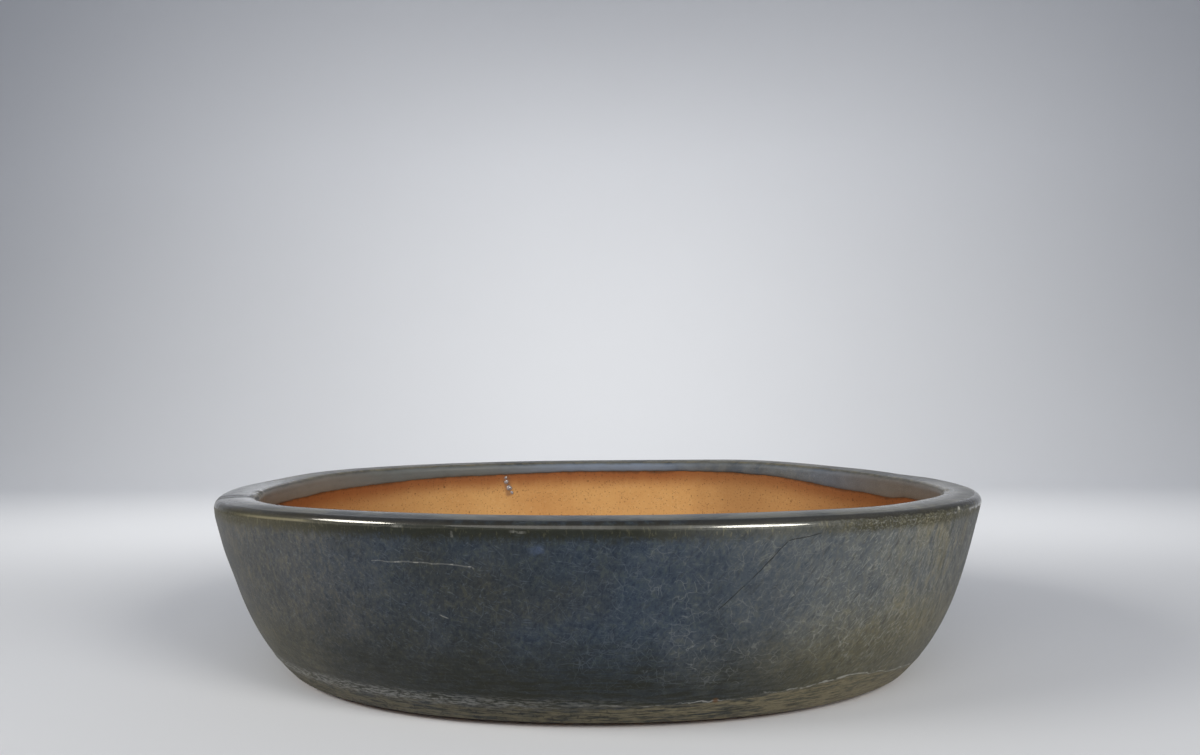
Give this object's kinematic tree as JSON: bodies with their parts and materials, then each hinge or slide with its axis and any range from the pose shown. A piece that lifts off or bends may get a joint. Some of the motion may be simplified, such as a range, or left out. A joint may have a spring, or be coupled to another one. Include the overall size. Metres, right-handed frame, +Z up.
{
  "type": "oval bonsai pot",
  "caption": "Shallow oval bonsai pot: hand-built stoneware with a leaning wall, a thick rounded lip, a drained floor on low set-in feet, and a crackled slate-blue glaze outside.",
  "frame": {"origin": "on the table, under the middle of the pot", "axes": "+X along the pot's length, to the right as seen from its front; -Y out of the front; +Z up"},
  "size_m": [0.36, 0.285, 0.083],
  "materials": {
    "stoneware": "bare fired clay, warm orange-brown with iron specks",
    "glaze": "glossy slate blue-grey, mottled and crackled"
  },
  "bodies": {
    "root": {"wall_front": "stoneware", "wall_rear": "stoneware", "floor_slab": "stoneware", "corner_coil": "stoneware", "foot_front_left": "stoneware", "foot_front_right": "stoneware", "foot_rear_left": "stoneware", "foot_rear_right": "stoneware", "glaze_coat": "glaze"}
  },
  "joints": []
}
